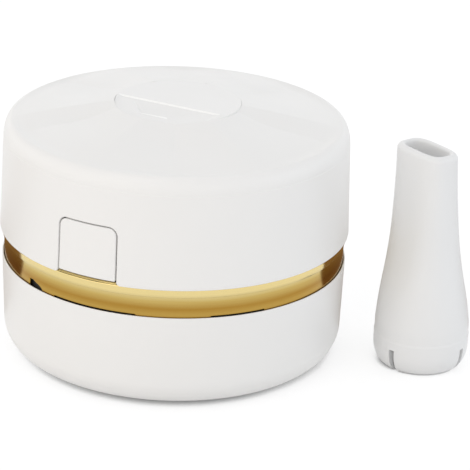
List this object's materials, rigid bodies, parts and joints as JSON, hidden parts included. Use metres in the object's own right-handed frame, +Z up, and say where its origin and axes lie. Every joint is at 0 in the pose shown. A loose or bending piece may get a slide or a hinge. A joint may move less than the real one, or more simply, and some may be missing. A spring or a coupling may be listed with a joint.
{
  "type": "desktop mini vacuum cleaner",
  "caption": "Round desktop vacuum cleaner: motor housing that lifts off a dust bin, domed lid with a power button, side release button, and a loose crevice nozzle.",
  "frame": {"origin": "middle of the whole footprint on the desk, between the body and the nozzle that stands beside it", "axes": "+X from the body towards the nozzle, +Y away from the release button's side, +Z up"},
  "size_m": [0.114, 0.084, 0.0622],
  "materials": {
    "shell": "satin white moulding",
    "button": "satin white moulding",
    "gold": "gold-plated gloss",
    "inner": "plain light grey moulding",
    "rubber": "matt dark rubber",
    "bristle": "nylon bristle",
    "steel": "plain zinc",
    "brass": "turned brass",
    "magnet": "dull ferrite",
    "board": "green solder mask",
    "cell": "plain blue sleeve",
    "dark": "black moulding",
    "filter": "woven mesh"
  },
  "bodies": {
    "dust_base": {"dust_bin": "shell", "brush_plate": "inner", "brush_arc_1": "bristle", "brush_arc_2": "bristle", "brush_arc_3": "bristle", "brush_arc_4": "bristle", "glide_foot_1": "rubber", "glide_foot_2": "rubber", "glide_foot_3": "rubber", "glide_foot_4": "rubber", "base_screw_1": "steel", "base_screw_2": "steel", "base_screw_3": "steel"},
    "motor_unit": {"upper_housing": "shell", "top_cover": "shell", "trim_ring": "gold", "motor_deck": "inner", "fan_guard": "inner", "motor_can": "steel", "motor_bush": "brass", "motor_end_cap": "dark", "motor_magnet_1": "magnet", "motor_magnet_2": "magnet", "cell_front": "cell", "cell_back": "cell", "cell_tray_front": "inner", "cell_tray_back": "inner", "cell_link_left": "steel", "cell_link_right": "steel", "circuit_board": "board", "power_switch": "dark", "button_spring": "steel", "charge_board": "board", "charging_socket": "steel", "release_spring": "steel", "deck_screw_1": "steel", "deck_screw_2": "steel", "deck_screw_3": "steel", "deck_screw_4": "steel", "guard_screw_1": "steel", "guard_screw_2": "steel", "guard_screw_3": "steel", "board_screw_1": "steel", "board_screw_2": "steel", "board_screw_3": "steel"},
    "power_button_unit": {"power_button": "button", "switch_plunger": "brass"},
    "release_unit": {"release_button": "shell"},
    "rotor": {"impeller": "inner", "motor_shaft": "steel", "motor_armature": "steel"},
    "filter_unit": {"filter_frame": "inner", "filter_mesh": "filter"},
    "nozzle_unit": {"nozzle": "shell"}
  },
  "joints": [
    {"name": "motor_unit_lift", "type": "slide", "parent": "dust_base", "child": "motor_unit", "axis": [0, 0, 1], "range_m": [0, 0.045]},
    {"name": "power_button_press", "type": "slide", "parent": "motor_unit", "child": "power_button_unit", "axis": [0, 0, -1], "range_m": [0, 0.0012], "stiffness_N_per_m": 800, "springref_m": -0.001, "deforming": ["button_spring"]},
    {"name": "release_press", "type": "slide", "parent": "motor_unit", "child": "release_unit", "axis": [0.4571, 0.8894, 0], "range_m": [0, 0.0015], "stiffness_N_per_m": 800, "springref_m": -0.001, "deforming": ["release_spring"]},
    {"name": "impeller_spin", "type": "hinge", "parent": "motor_unit", "child": "rotor", "pos_m": [-0.015, 0, 0.027], "axis": [0, 0, 1], "continuous": true},
    {"name": "filter_pull", "type": "slide", "parent": "motor_unit", "child": "filter_unit", "axis": [0, 0, -1], "range_m": [0, 0.0055]},
    {"name": "nozzle_lift", "type": "slide", "parent": "dust_base", "child": "nozzle_unit", "axis": [0, 0, 1], "range_m": [0, 0.04]}
  ]
}
